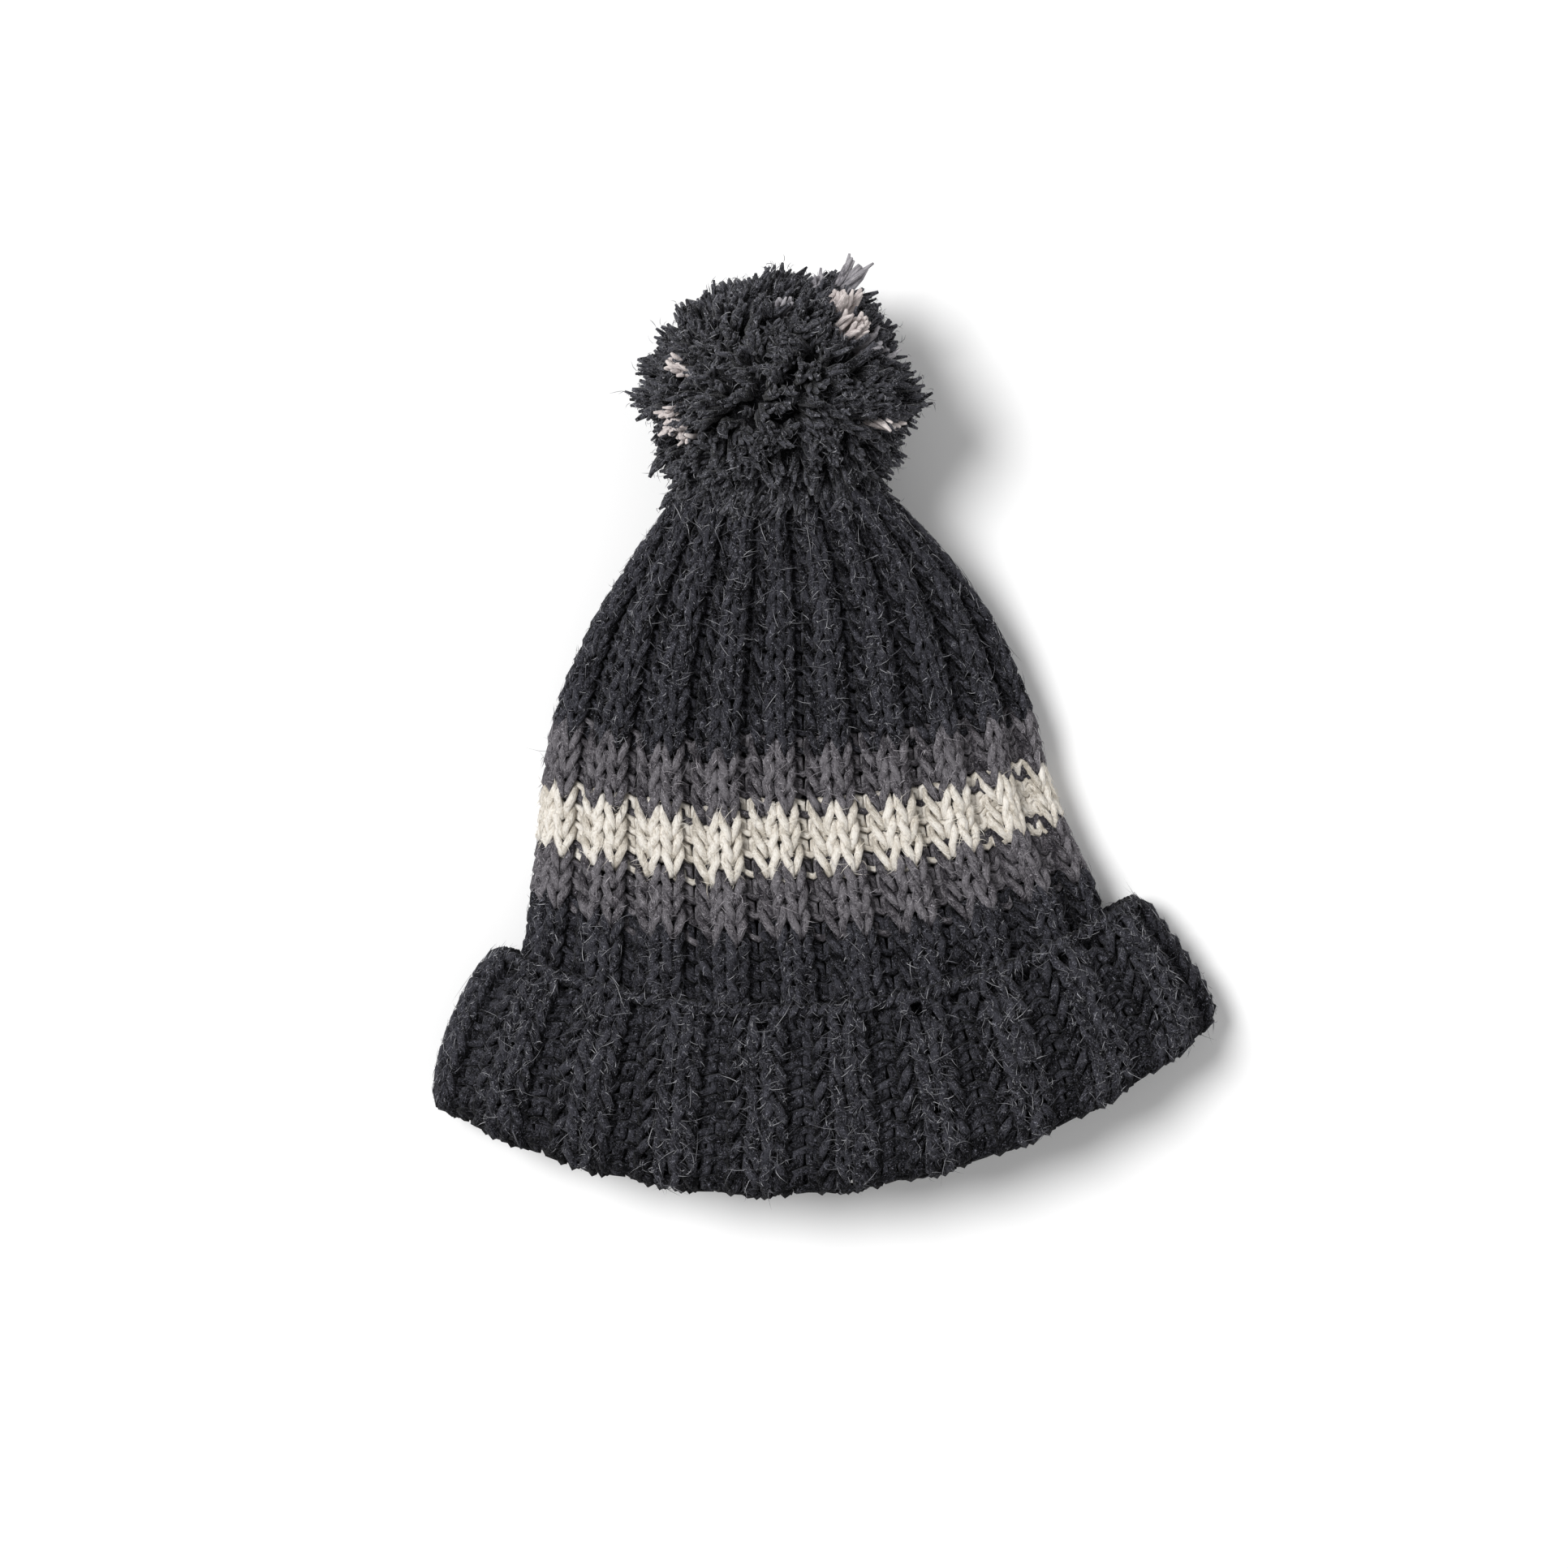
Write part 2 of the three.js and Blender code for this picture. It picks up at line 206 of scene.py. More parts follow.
def fabric_sheet():
    """The whole fabric as one sheet of rings: down the cuff from its free edge, round the fold at the
    hem, and up the tube to the eye. The fold is half an ellipse between the cuff's wall and the tube's."""
    cuff_ups = np.arange(CUFF_TOP, HEM_FOLD + SHEET_STEP / 2, -SHEET_STEP)
    turn = np.linspace(0, 1, FOLD_STEPS)
    fold_ups = HEM_FOLD * (1 - np.sin(np.pi * turn))
    tube_ups = np.append(np.arange(HEM_FOLD + SHEET_STEP, EYE_UP - SHEET_STEP / 3, SHEET_STEP), EYE_UP)
    share = (1 - np.cos(np.pi * turn))[:, None, None] / 2
    fold = (1 - share) * wall_middle(CUFF, fold_ups) + share * wall_middle(BODY, fold_ups)
    points = np.concatenate([wall_middle(CUFF, cuff_ups), fold, wall_middle(BODY, tube_ups)])
    step = np.median(np.linalg.norm(np.diff(points, axis=0), axis=-1), axis=1)
    height = np.append(0, step.cumsum())
    wale = unit(np.gradient(points, height, axis=0))
    course = np.roll(points, -1, axis=1) - np.roll(points, 1, axis=1)
    pitch = np.linalg.norm(course, axis=-1).sum(axis=1) / 2 / RIBS
    ups = np.concatenate([np.full(len(cuff_ups) + len(turn) - 1, -1.0), [HEM_FOLD], tube_ups])
    tube = ups >= 0
    return {
        "points": points,
        "normals": unit(np.cross(wale, unit(course))),
        "wales": wale,
        "height": height,
        "pitch": pitch,
        "tube_ups": ups[tube],
        "tube_heights": height[tube],
        "fold_height": height[len(cuff_ups) + len(turn) // 2],
    }


SHEET = fabric_sheet()


def height_of(up):
    """Height on the sheet of a length up the tube from the hem."""
    return np.interp(up, SHEET["tube_ups"], SHEET["tube_heights"])


def on_sheet(height, around):
    """Point, normal and wale direction of the sheet, blended between its four nearest grid points."""
    row = np.interp(height, SHEET["height"], np.arange(len(SHEET["height"])))
    i = np.minimum(row.astype(int), len(SHEET["height"]) - 2)
    column = np.mod(around, 1) * AROUND_STEPS
    j = column.astype(int) % AROUND_STEPS
    s, t = (row - i)[..., None], (column - np.floor(column))[..., None]
    beside = (j + 1) % AROUND_STEPS

    def read(grid):
        return (1 - s) * ((1 - t) * grid[i, j] + t * grid[i, beside]) + s * (
            (1 - t) * grid[i + 1, j] + t * grid[i + 1, beside])

    return read(SHEET["points"]), unit(read(SHEET["normals"])), unit(read(SHEET["wales"]))


def rib_profile(f):
    """Height of a rib's face across it: level on top, steep into the grooves, 1 - 2|2f - 1|^3."""
    return 1 - 2 * np.abs(2 * np.clip(f, 0, 1) - 1) ** 3


def wander(rows, samples, per_stitch, size):
    """Hand-knit unevenness: random knots, per_stitch of them to a stitch, with smooth steps between."""
    knots = rng.normal(0, size, (rows, int(STITCHES * per_stitch) + 2))
    at = samples * per_stitch
    i = at.astype(int)
    t = smooth(at - i)
    return knots[:, i] * (1 - t) + knots[:, i + 1] * t


def knit_rows(middles, pitches):
    """Yarn paths of rows of 2x2 rib.
    Along a row each stitch is a loop: its height is -cos 2 pi t, it leans by sin 4 pi t about its column,
    and -cos 4 pi t brings its legs to the face and its head behind. Knit pairs lie on the front face. Purl
    pairs are the same loops on the back, half a rib further on. Between them the yarn passes straight
    through the wall. In stretched fabric, and beside the opened groove, a pair takes less of its rib."""
    # q counts stitches along the row, t runs from 0 to 1 within one, and f across its rib
    q = np.arange(STITCHES * STEPS_PER_STITCH + 1) / STEPS_PER_STITCH
    j = np.minimum(q.astype(int), STITCHES - 1)
    t = q - j
    kind = j % 4
    side = np.where(kind < 2, 1.0, -1.0)
    rib = j // 4 + np.where(kind < 2, 0.0, 0.5)
    centre, width = np.array(KNIT_COLUMNS)[kind % 2].T
    f = centre + width * (t - 0.5 + LOOP_LEAN * np.sin(4 * np.pi * t))
    (c0, w0), (c1, w1) = KNIT_COLUMNS
    inside = (c0 + w0 / 2 + c1 - w1 / 2) / 2  # where the two columns of a pair meet
    first, last = (c1 + c0 - 0.5) / 2, (c1 + c0 + 0.5) / 2  # where a pair is reached from the other face
    starts = np.where(kind % 2 == 0, first, inside) - (centre - width / 2)
    ends = np.where(kind % 2 == 0, inside, last) - (centre + width / 2)
    f = f + starts * (1 - smooth(t / JOIN_SHARE)) + ends * smooth((t - (1 - JOIN_SHARE)) / JOIN_SHARE)
    arriving, leaving = 1 - smooth(t / CROSS_SHARE), smooth((t - (1 - CROSS_SHARE)) / CROSS_SHARE)
    crossing = np.where(kind % 2 == 0, arriving, leaving)
    out = side * (1 - crossing) * (RIB_RISE * rib_profile(f) - LOOP_DEPTH * np.cos(4 * np.pi * t))
    turn = np.pi / 2 * np.where(side > 0, crossing, 2 - crossing)

    rows = len(middles)
    stretch = np.interp(middles, SHEET["height"], SHEET["pitch"])[:, None] / RIB_PITCH
    opened = np.exp(-(((middles - height_of(OPEN_UP)) / OPEN_REACH[1]) ** 4))[:, None] * np.exp(
        -(((rib + f - OPEN_RIB) / OPEN_REACH[0]) ** 4))
    pair = 0.5 + (f - 0.5) * np.clip(1 / stretch, *PAIR_WIDTHS) * (1 - OPEN_SHARE * opened)
    x = rib + pair + wander(rows, q, 2, ACROSS_WANDER)
    lift = np.where(side > 0, 0, PURL_LIFT) * (1 - crossing)
    rise = LOOP_HEIGHT * -np.cos(2 * np.pi * t) + lift + wander(rows, q, 1, HEIGHT_WANDER)
    jog = SEAM_JOG * (q / STITCHES - 0.5)
    height = middles[:, None] + pitches[:, None] * (rise + jog)
    pitch = np.interp(height, SHEET["height"], SHEET["pitch"])
    squeeze = np.clip(np.sqrt(pitch / RIB_PITCH), *YARN_SQUEEZE)
    radius = YARN_RADIUS * squeeze * (1 - LEG_SWELL * np.cos(4 * np.pi * t))
    radius = radius * (1 + wander(rows, q, 1, GIRTH_WANDER))
    calm = 1 - HEM_CALM * np.exp(-(((height - SHEET["fold_height"]) / HEM_CALM_REACH) ** 2))
    calm = calm * (1 - OPEN_CALM * opened)
    out = out * np.minimum(squeeze, 1) * calm + wander(rows, q, 2, DEPTH_WANDER)
    point, normal, wale = on_sheet(height, SEAM_AROUND + x / RIBS)
    path = point + out[..., None] * normal
    low = TABLE_PRESS * radius
    path[..., 2] = low + TABLE_SOFT * np.logaddexp(0, (path[..., 2] - low) / TABLE_SOFT)
    reference = np.cos(turn)[:, None] * normal - np.sin(turn)[:, None] * wale
    return {"path": path, "radius": radius, "reference": reference, "normal": normal, "out": out}


def cast_on_edge():
    """Two yarns twisted round each other along the cuff's free edge, one turn to a stitch: height
    follows the cosine of the turn and depth its sine."""
    q = np.arange(STITCHES * STEPS_PER_STITCH + 1) / STEPS_PER_STITCH
    turn = 2 * np.pi * q + np.array([[0], [np.pi]])
    height = EDGE_HEIGHT + EDGE_COIL * np.cos(turn)
    around = SEAM_AROUND + q / STITCHES + 0 * turn
    point, normal, wale = on_sheet(np.maximum(height, 0), around)
    out = EDGE_COIL * np.sin(turn)
    path = point + out[..., None] * normal + np.minimum(height, 0)[..., None] * wale
    radius = EDGE_YARN * (1 + wander(2, q, 1, EDGE_WANDER))
    path[..., 2] = np.maximum(path[..., 2], radius)
    return {"path": path, "radius": radius, "reference": normal, "normal": normal, "out": out}


def tubes(paths, radii, references, sides):
    """Tubes along paths: at each point a ring of the radius, square to the path, that starts from the
    reference. Each vertex also gets its place in the yarn pulled straight and untwisted, in mm."""
    along = unit(np.gradient(paths, axis=1))
    beside = unit(np.cross(along, references))
    upper = np.cross(beside, along)
    angle = 2 * np.pi * np.arange(sides) / sides
    ring = np.cos(angle)[:, None] * upper[:, :, None] + np.sin(angle)[:, None] * beside[:, :, None]
    vertices = paths[:, :, None] + radii[:, :, None, None] * ring
    lengths = np.linalg.norm(np.diff(paths, axis=1), axis=-1).cumsum(axis=1)
    length = np.concatenate([np.zeros((len(paths), 1)), lengths], axis=1)
    twisted = angle + 2 * np.pi * length[..., None] / TWIST_LENGTH
    far = length[..., None] + YARN_APART * np.arange(len(paths))[:, None, None] + 0 * twisted
    girth = radii[..., None]
    yarn = np.stack([girth * np.cos(twisted), girth * np.sin(twisted), far], axis=-1)

    count, stations = radii.shape
    index = np.arange(count * stations * sides).reshape(count, stations, sides)
    here, there = index[:, :-1], index[:, 1:]
    quads = np.stack([here, np.roll(here, -1, 2), np.roll(there, -1, 2), there], axis=-1).reshape(-1, 4)
    caps = np.concatenate([index[:, 0, ::-1], index[:, -1]])
    return {"vertices": vertices.reshape(-1, 3), "faces": [quads, caps], "yarn_mm": yarn.reshape(-1, 3)}


FIBRE_CORNERS = 8  # of one fibre's mesh: two points and two rings of three


def spindles(base, reach, bend, radius):
    """Fibres: each a three-sided spindle on the curve base + reach s + bend s^2, with pointed ends."""
    s = np.array([0, 0.33, 0.67, 1.0])[None, :, None]
    curve = base[:, None] + reach[:, None] * s + bend[:, None] * s**2
    beside = unit(np.cross(reach + bend, rng.normal(0, 1, base.shape)))
    upper = unit(np.cross(beside, reach + bend))
    angle = 2 * np.pi * np.arange(3) / 3
    ring = np.cos(angle)[:, None] * upper[:, None] + np.sin(angle)[:, None] * beside[:, None]
    girth = radius[:, None, None] * ring
    vertices = np.concatenate(
        [curve[:, :1], curve[:, 1:2] + girth, curve[:, 2:3] + girth, curve[:, 3:]], axis=1)
    first = FIBRE_CORNERS * np.arange(len(base))[:, None]
    k, n = np.arange(3), (np.arange(3) + 1) % 3
    tri = np.concatenate([
        np.stack([0 * k, 1 + n, 1 + k], axis=1), np.stack([7 + 0 * k, 4 + k, 4 + n], axis=1)])
    quad = np.stack([1 + k, 1 + n, 4 + n, 4 + k], axis=1)
    return {
        "vertices": vertices.reshape(-1, 3),
        "faces": [(first[:, None] + tri).reshape(-1, 3), (first[:, None] + quad).reshape(-1, 4)],
    }


def joined(*parts):
    """Several shapes as one: their vertices in a row, their faces counted on, their attributes kept."""
    starts = np.append(0, np.cumsum([len(p["vertices"]) for p in parts]))
    faces = [f + start for p, start in zip(parts, starts) for f in p["faces"]]
    names = [n for n in parts[0] if n != "faces"]
    return {"faces": faces, **{n: np.concatenate([p[n] for p in parts]) for n in names}}


def new_piece(name, shape, material, nodes):
    """A mesh object of a shape in millimetres. Each further array of the shape is a point attribute."""
    mesh = bpy.data.meshes.new(name)
    corners = np.concatenate([f.ravel() for f in shape["faces"]]).astype(np.int32)
    totals = np.concatenate([np.full(len(f), f.shape[1]) for f in shape["faces"]]).astype(np.int32)
    vertices = shape["vertices"] * MM
    vertices[:, 2] = np.maximum(vertices[:, 2], TABLE_GAP * MM)
    mesh.vertices.add(len(vertices))
    mesh.vertices.foreach_set("co", vertices.astype(np.float32).ravel())
    mesh.loops.add(len(corners))
    mesh.loops.foreach_set("vertex_index", corners)
    mesh.polygons.add(len(totals))
    mesh.polygons.foreach_set("loop_start", np.append(0, totals.cumsum()[:-1]).astype(np.int32))
    mesh.polygons.foreach_set("loop_total", totals)
    mesh.update(calc_edges=True)
    for key, values in shape.items():
        if key in ("vertices", "faces"):
            continue
        kind, entry = ("FLOAT_VECTOR", "vector") if values.ndim == 2 else ("FLOAT", "value")
        attribute = mesh.attributes.new(key, kind, "POINT")
        attribute.data.foreach_set(entry, values.astype(np.float32).ravel())
    mesh.shade_smooth()
    mesh.materials.append(material)
    piece = bpy.data.objects.new(name, mesh)
    bpy.context.scene.collection.objects.link(piece)
    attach(piece, "root")
    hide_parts(*nodes)


def linear(code):
    """Linear colour of an sRGB hex code."""
    c = np.array([int(code[i:i + 2], 16) for i in (1, 3, 5)]) / 255
    c = np.where(c <= 0.04045, c / 12.92, ((c + 0.055) / 1.055) ** 2.4)
    return (*c.tolist(), 1.0)


def add(tree, kind, inputs=None, stops=None, **settings):
    """Adds a node: settings are its properties, inputs its sockets by name or number, each a value or a
    link, and stops a colour ramp's places with their colours."""
    made = tree.nodes.new("ShaderNode" + kind)
    for name, value in settings.items():
        setattr(made, name, value)
    for name, value in (inputs or {}).items():
        if isinstance(value, bpy.types.NodeSocket):
            tree.links.new(value, made.inputs[name])
        else:
            made.inputs[name].default_value = value
    if stops:
        ramp = made.color_ramp
        while len(ramp.elements) < len(stops):
            ramp.elements.new(0.5)
        for element, (place, code) in zip(ramp.elements, stops):
            element.position = place
            element.color = linear(code)
    return made


def new_material(name):
    """A material with no nodes yet, and its node tree."""
    material = bpy.data.materials.new(name)
    material.use_nodes = True
    material.node_tree.nodes.clear()
    return material, material.node_tree


STREAK_WIDTH = 0.4  # mm; wool fibres are thinner, and are drawn as coarse as the render can show
STREAK_LENGTH = 4.5  # mm
STRAY_WIDTH = 0.34  # mm, fibres that have left the twist and lie across it
STRAY_LENGTH = 2.6  # mm
STRAY_TURN = 0.9  # radians off the yarn
STRAY_CURL = 0.9
STRAY_SHOWS = (0.62, 0.73)  # noise at which a stray fibre starts to show and shows in full
STREAK_CURL = 0.3
SLUB_WIDTH = 4.0  # mm
SLUB_LENGTH = 9.0  # mm between lighter and darker stretches of hand-spun yarn
TONE_GAIN = 2.0  # of streaks times slubs
TONE_SHIFT = -0.26
CREST_PAINTED_LIGHT = 0.4  # tone added as painted light where the crest is full, on the tops of ribs
TONE_STOPS = (0.3, 0.5, 0.72)  # of shaded, plain and lit fibres
FIBRE_RELIEF = 0.4  # mm
RELIEF_STRENGTH = 0.8
WOOL_IOR = 1.54


def wool_yarn(name, shade, body, glint, stray, sheen):
    """Carded wool, loosely plied: matt, with fibres of several tones lying along the twist and stray ones
    across it, which the eye sees as heathered streaks. By the crest attribute the tops of ribs and the cut
    ends are painted paler, with more stray fibres, and the grooves and the depths of the pom-pom darker:
    painted light and shade. The edges have a soft bloom of light."""
    material, tree = new_material(name)
    yarn = add(tree, "Attribute", attribute_name="yarn_mm").outputs["Vector"]

    def fibres(size, turn, curl):
        """Noise drawn out into fibres of a size in millimetres, turned off the yarn and curled."""
        at = add(tree, "Mapping", {"Vector": yarn, "Rotation": (turn, turn / 2, 0)})
        scaled = add(tree, "Mapping", {"Vector": at.outputs[0], "Scale": [1 / mm for mm in size]})
        noise = add(tree, "TexNoise", {"Vector": scaled.outputs[0], "Scale": 1, "Distortion": curl})
        return noise.outputs[0]

    stray_size = (STRAY_WIDTH, STRAY_WIDTH, STRAY_LENGTH)
    streak = fibres((STREAK_WIDTH, STREAK_WIDTH, STREAK_LENGTH), 0, STREAK_CURL)
    one_way = fibres(stray_size, STRAY_TURN, STRAY_CURL)
    other_way = fibres(stray_size, -STRAY_TURN, STRAY_CURL)
    slub = fibres((SLUB_WIDTH, SLUB_WIDTH, SLUB_LENGTH), 0, 0)
    across = add(tree, "Math", {0: one_way, 1: other_way}, operation="MAXIMUM").outputs[0]
    # Crest: painted light on the tops of ribs and at cut ends, painted shade in the grooves and deep in
    # the pom-pom
    crest = add(tree, "Attribute", attribute_name="crest").outputs["Fac"]
    mixed = add(tree, "Math", {0: streak, 1: slub}, operation="MULTIPLY")
    crest_light = add(tree, "Math", {0: crest, 1: CREST_PAINTED_LIGHT, 2: TONE_SHIFT}, operation="MULTIPLY_ADD")
    tone = add(tree, "Math", {0: mixed.outputs[0], 1: TONE_GAIN, 2: crest_light.outputs[0]},
               operation="MULTIPLY_ADD")
    stops = list(zip(TONE_STOPS, (shade, body, glint)))
    heather = add(tree, "ValToRGB", {"Fac": tone.outputs[0]}, stops=stops)
    shows, in_full = STRAY_SHOWS
    loose = add(tree, "MapRange", {"Value": across, "From Min": shows, "From Max": in_full}, clamp=True)
    # Stray fibres show only as far as the crest allows: raised fibres on the rib tops, painted shade in
    # the grooves
    strays_and_light = add(tree, "Math", {0: loose.outputs[0], 1: crest}, operation="MULTIPLY")
    colour = add(tree, "Mix", {"Factor": strays_and_light.outputs[0], "A": heather.outputs[0], "B": linear(stray)},
                 data_type="RGBA")
    relief = add(tree, "Math", {0: streak, 1: across}, operation="ADD")
    bump = add(tree, "Bump", {
        "Height": relief.outputs[0], "Strength": RELIEF_STRENGTH, "Distance": FIBRE_RELIEF * MM})
    shader = add(tree, "BsdfPrincipled", {
        "Base Color": colour.outputs["Result"], "Roughness": 0.92, "IOR": WOOL_IOR,
        "Specular IOR Level": 0.05, "Sheen Weight": sheen, "Sheen Roughness": 0.4,
        "Normal": bump.outputs[0]})
    add(tree, "OutputMaterial", {"Surface": shader.outputs[0]})
    return material


def wool_fibre(name, stops):
    """Loose wool fibres standing off the yarn: each has one tone from dark to pale, and they catch the
    light."""
    material, tree = new_material(name)
    tone = add(tree, "Attribute", attribute_name="tone").outputs["Fac"]
    colour = add(tree, "ValToRGB", {"Fac": tone}, stops=stops)
    shader = add(tree, "BsdfPrincipled", {
        "Base Color": colour.outputs[0], "Roughness": 0.7, "IOR": WOOL_IOR, "Specular IOR Level": 0.3})
    add(tree, "OutputMaterial", {"Surface": shader.outputs[0]})
    return material


# Yarns: colours of their shaded, plain and lit fibres, then of their stray ones, and the edges' bloom.
# Charcoal marl is near-black wool carded with pale grey; painted shade darkens it in the grooves, and
# painted light and stray fibres frost it on the ribs.
CHARCOAL = wool_yarn("charcoal_marl_wool", "#040405", "#121215", "#3a3a40", "#8a8a94", 0.05)
# The same yarn cut: its frayed ends show more of the pale fibres
CUT_CHARCOAL = wool_yarn("charcoal_cut_wool", "#040405", "#141417", "#4c4c52", "#b4b4bc", 0.16)
# Dyed wool: a middle grey with a breath of mauve, softly streaked
GREY = wool_yarn("mauve_grey_wool", "#211f23", "#434044", "#737074", "#b6b2b8", 0.07)
# Undyed wool: the warm white of fleece, with painted shade only in its grooves
CREAM = wool_yarn("undyed_cream_wool", "#aea699", "#d5cec3", "#eee9e1", "#f8f4ed", 0.1)
# Cream wool with a touch of pink, and light grey wool, both nearly even, for the pom-pom's tufts
BLUSH = wool_yarn("blush_cream_wool", "#a29897", "#c6bcba", "#e4dbd8", "#f0e9e6", 0.04)
PALE_GREY = wool_yarn("pale_grey_wool", "#6a676c", "#8d8a8f", "#b2afb3", "#c9c6ca", 0.04)

# Loose fibres: their colours from the darkest tone to the palest
CHARCOAL_FIBRE = wool_fibre(
    "charcoal_marl_fibre", [(0.0, "#1a1a1e"), (0.5, "#5a5a60"), (1.0, "#cacace")])
GREY_FIBRE = wool_fibre("mauve_grey_fibre", [(0.0, "#504d52"), (0.6, "#7d797f"), (1.0, "#cfcacf")])
CREAM_FIBRE = wool_fibre("undyed_cream_fibre", [(0.0, "#d8cebd"), (1.0, "#fffaf0")])

# Fuzz: loose fibres on the outer face, how many on each piece and in which tones
HAIRS = {
    "cuff": 9600,
    "edge": 900,
    "band": 3600,
    "stripe_grey_lower": 1900,
    "stripe_cream": 2000,
    "stripe_grey_upper": 1900,
    "crown": 9600,
}
DARK_TONES = (0.15, 0.3, 0.5, 0.65, 0.8, 1.0)
GREY_TONES = (0.2, 0.6, 1.0)
CREAM_TONES = (0.3, 1.0)
TONE_SPREAD = (0.6, 1.0)
FUZZ_LENGTH = 1.9
FUZZ_RADIUS = (0.05, 0.09)  # thicker than real ones, so that they show in the render
FUZZ_TRIES = 6  # places tried for each fibre, since most aren't on a rib's top
FUZZ_OUTSIDE = 0.35  # share of the ribs' height above which fibres stand
FUZZ_ROOT = 0.8  # share of the yarn's radius at which they start
FUZZ_UNDERNEATH = 0.25  # share of them on fabric that faces down
FUZZ_LIFT = (0.05, 0.4)
FUZZ_CURL = 1.4


def fuzz(rows, face, count, tones):
    """Fibres on one face of the rows, 1 or -1: they start in the yarn, run in any direction near the
    fabric and lift off it as they curl."""
    row = rng.integers(0, rows["path"].shape[0], FUZZ_TRIES * count)
    at = rng.integers(0, rows["path"].shape[1], FUZZ_TRIES * count)
    normal = face * rows["normal"][row, at]
    base = rows["path"][row, at]
    outside = face * rows["out"][row, at]
    facing = np.where(normal[:, 2] > -0.2, 1.0, FUZZ_UNDERNEATH)
    chance = (outside > FUZZ_OUTSIDE * outside.max()) * facing
    keep = np.flatnonzero(rng.random(FUZZ_TRIES * count) < chance)[:count]
    normal, base = normal[keep], base[keep]
    radius = rows["radius"][row[keep], at[keep]]
    aside = unit(np.cross(normal, rng.normal(0, 1, normal.shape)))
    across = np.cross(normal, aside)
    length = FUZZ_LENGTH * rng.lognormal(0, 0.3, len(keep))
    lift = rng.uniform(*FUZZ_LIFT, len(keep))
    base = base + normal * (FUZZ_ROOT * radius)[:, None] + aside * rng.normal(0, 0.5, len(keep))[:, None]
    reach = length[:, None] * (aside + lift[:, None] * normal)
    curl = rng.normal(0, FUZZ_CURL, (len(keep), 1)) * across - (0.8 * lift)[:, None] * normal - 0.6 * aside
    shape = spindles(base, reach, length[:, None] * curl, rng.uniform(*FUZZ_RADIUS, len(keep)))
    tone = rng.choice(tones, len(keep)) * rng.uniform(*TONE_SPREAD, len(keep))
    shape["tone"] = np.repeat(tone, FIBRE_CORNERS)
    return shape


def yarn_shape(rows, highest=RIB_CREST):
    """The rows as yarn. Its crest sets the painted light and the share of stray fibres: a smooth step from
    the middle of the wall, painted shade in the grooves, to the highest loops."""
    shape = tubes(rows["path"], rows["radius"], rows["reference"], YARN_SIDES)
    crest = GROOVE_LIGHT + (1 - GROOVE_LIGHT) * smooth(np.abs(rows["out"]) / highest)
    shape["crest"] = np.repeat(crest.ravel(), YARN_SIDES)
    return shape


def make_knitting():
    """The rows from the cuff's free edge to the eye, in the bands that each yarn knits. The cuff is turned
    up, so that it shows the back of the fabric."""
    pitch = height_of(BAND_TOP) / (CUFF_ROWS + BAND_ROWS + EDGE_ROOM)
    middles = pitch * (np.arange(CUFF_ROWS + BAND_ROWS) + 0.5 + EDGE_ROOM)
    cuff = knit_rows(middles[:CUFF_ROWS], np.full(CUFF_ROWS, pitch))
    band = knit_rows(middles[CUFF_ROWS:], np.full(BAND_ROWS, pitch))
    edge = cast_on_edge()
    shown_band = {key: values[BAND_HIDDEN:] for key, values in band.items()}
    shapes = {
        "cuff_knit": (yarn_shape(cuff), CHARCOAL),
        "cuff_edge": (yarn_shape(edge, EDGE_COIL), CHARCOAL),
        "band_knit": (yarn_shape(band), CHARCOAL),
        "cuff_fuzz": (fuzz(cuff, -1, HAIRS["cuff"], DARK_TONES), CHARCOAL_FIBRE),
        "edge_fuzz": (fuzz(edge, -1, HAIRS["edge"], DARK_TONES), CHARCOAL_FIBRE),
        "band_fuzz": (fuzz(shown_band, 1, HAIRS["band"], DARK_TONES), CHARCOAL_FIBRE),
    }
    for name, (shape, material) in shapes.items():
        new_piece(name, shape, material, ["cuff_band"])
    looks = {
        "stripe_grey_lower": (GREY, GREY_FIBRE, "grey_wool", GREY_TONES),
        "stripe_cream": (CREAM, CREAM_FIBRE, "cream_wool", CREAM_TONES),
        "stripe_grey_upper": (GREY, GREY_FIBRE, "grey_wool", GREY_TONES),
        "crown": (CHARCOAL, CHARCOAL_FIBRE, "charcoal_wool", DARK_TONES),
    }
    for name, start, end, count in BANDS:
        low, high = height_of(start), height_of(end)
        pitch = (high - low) / count
        rows = knit_rows(low + pitch * (np.arange(count) + 0.5), np.full(count, pitch))
        yarn, fibre, slot, tones = looks[name]
        new_piece(name + "_knit", yarn_shape(rows), yarn, [name])
        new_piece(name + "_fuzz", fuzz(rows, 1, HAIRS[name], tones), fibre, [name])


make_knitting()

# Pom-pom: cut strands of yarn that stand out from the knot in its middle
rng = np.random.default_rng(1)  # a start of its own, so that the knitting can change without it
POMPOM_AT = np.array([-14.2, 99.8, 38.0])
POMPOM_REACH = np.array([40.5, 36.5, 37.5])
CROWN = BODY[6:]  # its sections, which the strands lie on
STRANDS = 1450
STRAND_JITTER = 0.03  # of direction
LENGTH_SPREAD = 0.03  # share of the reach, of single strands and of whole locks
LONG_STRANDS = 0.05  # share of strands that stick out
LONG_BY = (0.03, 0.09)
STRANDS_DEEPEST = 13.0  # mm in the crown, past which a strand is left out
STRAND_GAP = 1.0  # mm off the crown
CORE_GAP = 0.5
PLIES = 3  # to a strand
PLY_RADIUS = 1.0
PLY_SPREAD = 0.14  # share of the radius
PLY_UNEVEN = 0.05  # share of its length
APART_SPREAD = 0.3
PLY_TURNS = 1.1
PLY_SIDES = 4
STRAND_INNER = 0.4  # share of the reach at which the modelled part of a strand starts
STRAND_STATIONS = np.array([0, 0.38, 0.68, 0.9, 1.0])
